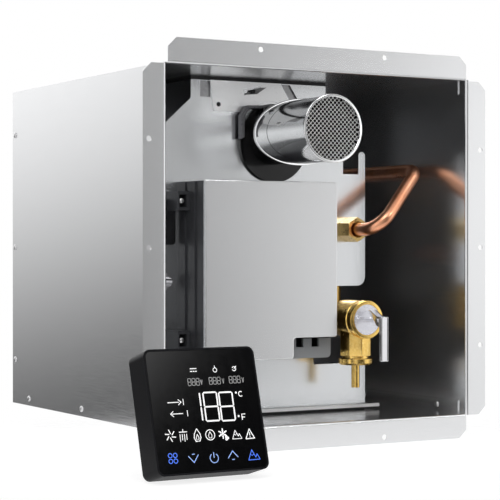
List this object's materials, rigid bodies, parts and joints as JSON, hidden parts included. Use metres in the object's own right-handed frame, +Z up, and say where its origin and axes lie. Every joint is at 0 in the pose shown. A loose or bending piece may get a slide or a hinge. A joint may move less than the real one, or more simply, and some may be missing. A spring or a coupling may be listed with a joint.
{
  "type": "tankless water heater",
  "caption": "Built-in gas water heater: open-fronted sheet steel case with flanges, burner module, exhaust pipe, relief valve and a separate touch controller.",
  "frame": {"origin": "centre of the ten flange holes, on the front face of the case's flanges", "axes": "+X to the right as seen from the front, +Y into the case, +Z up"},
  "size_m": [0.4312, 0.5112, 0.366],
  "materials": {
    "galvanised_steel": "satin zinc-coated sheet",
    "tray_white": "satin white coating",
    "rivet_aluminium": "satin",
    "seal_rubber": "matt",
    "plate_steel": "bright satin",
    "dark_steel": "satin",
    "copper": "bright drawn copper",
    "brass": "turned brass",
    "chrome_pipe": "polished",
    "screen_wire": "fine wire",
    "black_gloss": "gloss black",
    "valve_aluminium": "die cast",
    "coil_black": "matt",
    "plunger_steel": "ground",
    "spring_steel": "drawn wire",
    "electrode_ceramic": "matt",
    "box_base_plastic": "matt",
    "box_cover_plastic": "satin light grey",
    "socket_plastic": "satin grey",
    "board_green": "solder mask",
    "screw_steel": "bright",
    "valve_disc": "satin",
    "lever_steel": "bright plated",
    "sensor_plastic": "matt",
    "turbine_plastic": "satin",
    "controller_glass": "gloss black",
    "controller_shell": "satin black",
    "controller_board": "solder mask"
  },
  "bodies": {
    "heater": {"burner_bars": "dark_steel", "burner_box": "dark_steel", "burner_electrodes": "electrode_ceramic", "cable_grommet": "seal_rubber", "case_back": "galvanised_steel", "case_bottom": "galvanised_steel", "case_left_side": "galvanised_steel", "case_right_side": "galvanised_steel", "case_rivets": "rivet_aluminium", "case_top": "galvanised_steel", "chassis_base": "tray_white", "chassis_front_plate": "plate_steel", "chassis_seal": "seal_rubber", "clip_screws": "screw_steel", "cold_water_tube": "copper", "combustion_housing": "plate_steel", "connector_plate": "socket_plastic", "control_board": "board_green", "control_box_base": "box_base_plastic", "control_box_cover": "box_cover_plastic", "drain_plug": "screw_steel", "drain_tee": "brass", "exhaust_pipe": "chrome_pipe", "exhaust_screen": "screen_wire", "fan_housing": "dark_steel", "fan_motor": "coil_black", "flow_sensor_housing": "sensor_plastic", "flue_collar": "black_gloss", "flue_hood": "dark_steel", "flue_neck": "black_gloss", "gas_inlet_fitting": "brass", "gas_manifold": "valve_aluminium", "gas_pipe": "valve_aluminium", "gas_valve_body": "valve_aluminium", "heat_exchanger_coil": "copper", "heat_exchanger_fins": "copper", "heat_exchanger_shell": "copper", "hot_water_manifold": "brass", "hot_water_tube": "copper", "outlet_nut": "brass", "overheat_cutout": "coil_black", "plunger_spring": "spring_steel", "relief_outlet_tube": "copper", "relief_valve_body": "brass", "relief_valve_disc": "valve_disc", "solenoid_coils": "coil_black", "upper_bracket": "plate_steel", "water_inlet_fitting": "brass", "water_outlet_fitting": "brass"},
    "fan_wheel": {"fan_impeller": "dark_steel"},
    "turbine": {"flow_turbine": "turbine_plastic"},
    "plunger": {"solenoid_plunger": "plunger_steel"},
    "relief_plunger": {"relief_stem": "lever_steel", "relief_pivot_pin": "lever_steel"},
    "test_lever": {"relief_lever": "lever_steel"},
    "controller": {"controller_glass": "controller_glass", "controller_front_frame": "controller_shell", "controller_rear_shell": "controller_shell", "controller_display": "controller_board"}
  },
  "joints": [
    {"name": "fan_spin", "type": "hinge", "parent": "heater", "child": "fan_wheel", "pos_m": [-0.0217, 0.1792, 0.1], "axis": [0, 0, 1], "continuous": true},
    {"name": "turbine_spin", "type": "hinge", "parent": "heater", "child": "turbine", "pos_m": [-0.12, 0.288, -0.0315], "axis": [0, 1, 0], "continuous": true},
    {"name": "plunger_lift", "type": "slide", "parent": "heater", "child": "plunger", "axis": [0, 0, 1], "range_m": [0, 0.002], "stiffness_N_per_m": 400, "springref_m": -0.01, "deforming": ["plunger_spring"]},
    {"name": "relief_stem_slide", "type": "slide", "parent": "heater", "child": "relief_plunger", "axis": [0, -1, 0], "range_m": [0, 0.003]},
    {"name": "test_lever_swing", "type": "hinge", "parent": "relief_plunger", "child": "test_lever", "pos_m": [0.0677, 0.008, -0.0686], "axis": [-1, 0, 0], "range_deg": [0, 90], "stiffness_Nm_per_rad": 0.008, "springref_deg": -91.67},
    {"name": "controller_lift", "type": "slide", "parent": "heater", "child": "controller", "axis": [0, 0, 1], "range_m": [0, 0.12]}
  ],
  "couplings": [
    {"joint": "relief_stem_slide", "follows": "test_lever_swing", "m_per_rad": 0.0019098}
  ]
}
